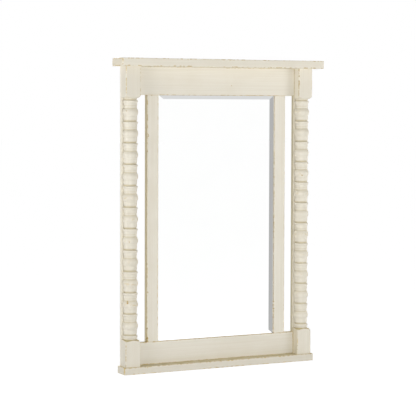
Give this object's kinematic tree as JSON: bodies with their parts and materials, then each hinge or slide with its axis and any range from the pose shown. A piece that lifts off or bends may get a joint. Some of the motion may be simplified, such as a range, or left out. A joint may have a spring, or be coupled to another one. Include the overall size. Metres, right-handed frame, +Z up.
{
  "type": "rectangular wall mirror",
  "caption": "Tall rectangular wall mirror: bevelled glass in a painted wooden frame with turned posts, open side slots, a cornice, a plinth and hinged hanging rings on the back.",
  "frame": {"origin": "middle of the lower back edge of the plinth, on the back plane of the wood", "axes": "+X to the right as one looks into the glass, +Y back towards the wall, +Z up"},
  "size_m": [0.826, 0.1018, 1.143],
  "materials": {
    "paint": "antique cream paint, satin, brushed, rubbed through to tan wood along the edges",
    "mirror": "silvered, polished, with a ground and polished bevel",
    "bare_wood": "bare, planed",
    "hardboard": "brown hardboard, smooth face out",
    "zinc": "bright zinc plate",
    "rubber": "matt black"
  },
  "bodies": {
    "frame": {"cornice": "paint", "top_rail": "paint", "bottom_rail": "paint", "left_inner_stile": "paint", "right_inner_stile": "paint", "left_outer_stile": "paint", "right_outer_stile": "paint", "left_post": "paint", "right_post": "paint", "plinth": "paint", "mirror_glass": "mirror", "setting_blocks": "rubber", "top_spacer": "bare_wood", "bottom_spacer": "bare_wood", "left_spacer": "bare_wood", "right_spacer": "bare_wood", "back_panel": "hardboard", "panel_screws": "zinc", "rail_dowels": "bare_wood", "stile_dowels": "bare_wood", "post_screws": "zinc", "cornice_screws": "zinc", "cornice_plugs": "paint", "plinth_screws": "zinc", "left_hanger_strap": "zinc", "right_hanger_strap": "zinc", "hanger_screws": "zinc", "wall_bumpers": "rubber", "bumper_screws": "zinc"},
    "left_ring": {"left_hanger_ring": "zinc"},
    "right_ring": {"right_hanger_ring": "zinc"}
  },
  "joints": [
    {"name": "left_ring_hinge", "type": "hinge", "parent": "frame", "child": "left_ring", "pos_m": [-0.3545, 0.00341, 1.082], "axis": [1, 0, 0], "range_deg": [0, 180]},
    {"name": "right_ring_hinge", "type": "hinge", "parent": "frame", "child": "right_ring", "pos_m": [0.3545, 0.00341, 1.082], "axis": [1, 0, 0], "range_deg": [0, 180]}
  ]
}
